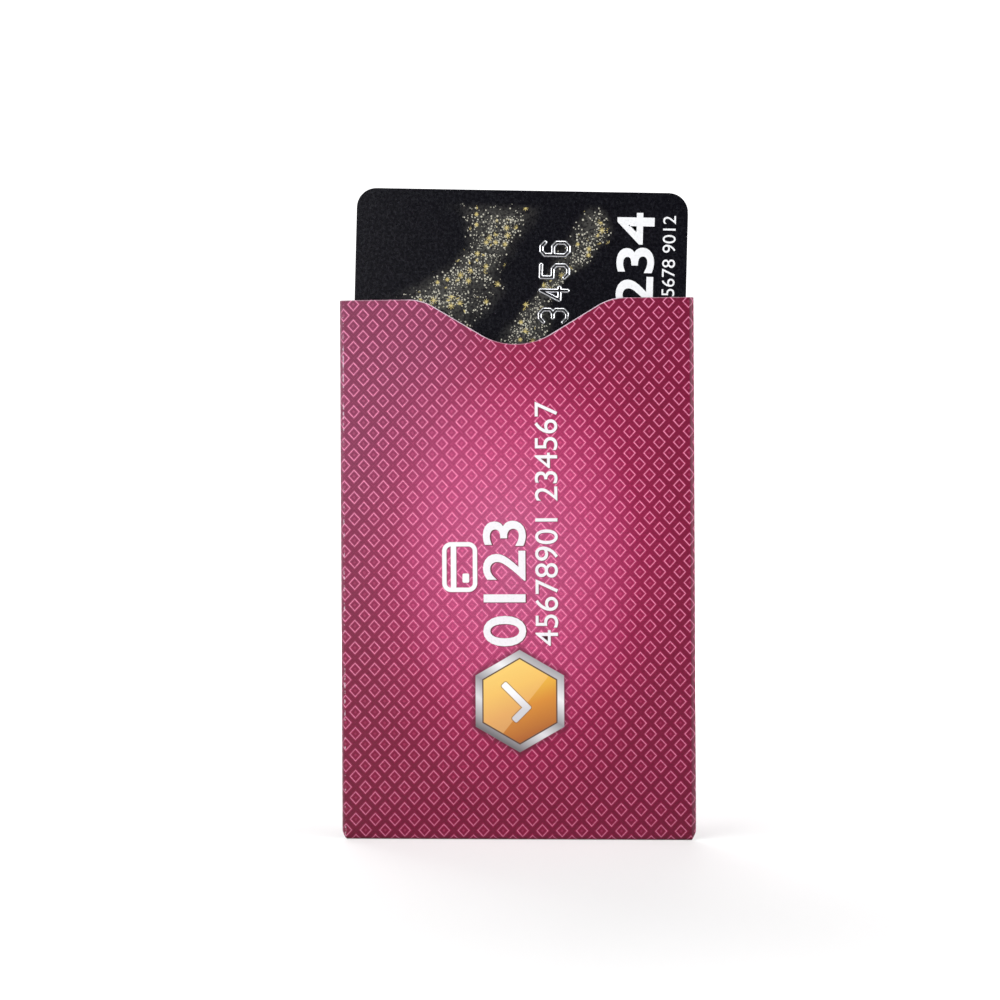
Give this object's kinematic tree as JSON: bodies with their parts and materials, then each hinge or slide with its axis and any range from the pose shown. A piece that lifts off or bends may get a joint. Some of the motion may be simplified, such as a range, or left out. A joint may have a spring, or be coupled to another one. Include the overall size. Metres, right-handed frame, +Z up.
{
  "type": "card sleeve",
  "caption": "Flat folded paper sleeve lined with foil, with a wave-shaped thumb notch in its mouth, holding a contactless payment card that slides out.",
  "frame": {"origin": "middle of the outside of the bottom fold, where a hand holds the upright sleeve", "axes": "+X across the sleeve to the right as its front is seen, +Y from its front to its back, +Z up to its mouth, the way the card slides out"},
  "size_m": [0.0578, 0.0024, 0.1063],
  "materials": {
    "sleeve_paper": "satin",
    "foil": "satin",
    "glue": "satin",
    "card_plastic": "gloss",
    "inlay_plastic": "satin",
    "antenna_metal": "satin",
    "contact_metal": "satin",
    "chip_body": "satin",
    "number_tips": "gloss",
    "stripe": "satin",
    "signature": "matte"
  },
  "bodies": {
    "sleeve": {"front_panel": "sleeve_paper", "back_panel": "sleeve_paper", "side_flap": "sleeve_paper", "bottom_flap": "sleeve_paper", "front_foil": "foil", "back_foil": "foil", "side_flap_foil": "foil", "bottom_flap_foil": "foil", "side_glue": "glue", "bottom_glue": "glue"},
    "card": {"card_front_sheet": "card_plastic", "card_inlay": "inlay_plastic", "card_back_sheet": "card_plastic", "antenna": "antenna_metal", "chip_contacts": "contact_metal", "chip_module": "chip_body", "raised_numbers": "number_tips", "magnetic_stripe": "stripe", "signature_panel": "signature"}
  },
  "joints": [
    {"name": "card_slide", "type": "slide", "parent": "sleeve", "child": "card", "axis": [0, 0, 1], "range_m": [-0.0182, 0.07]}
  ]
}
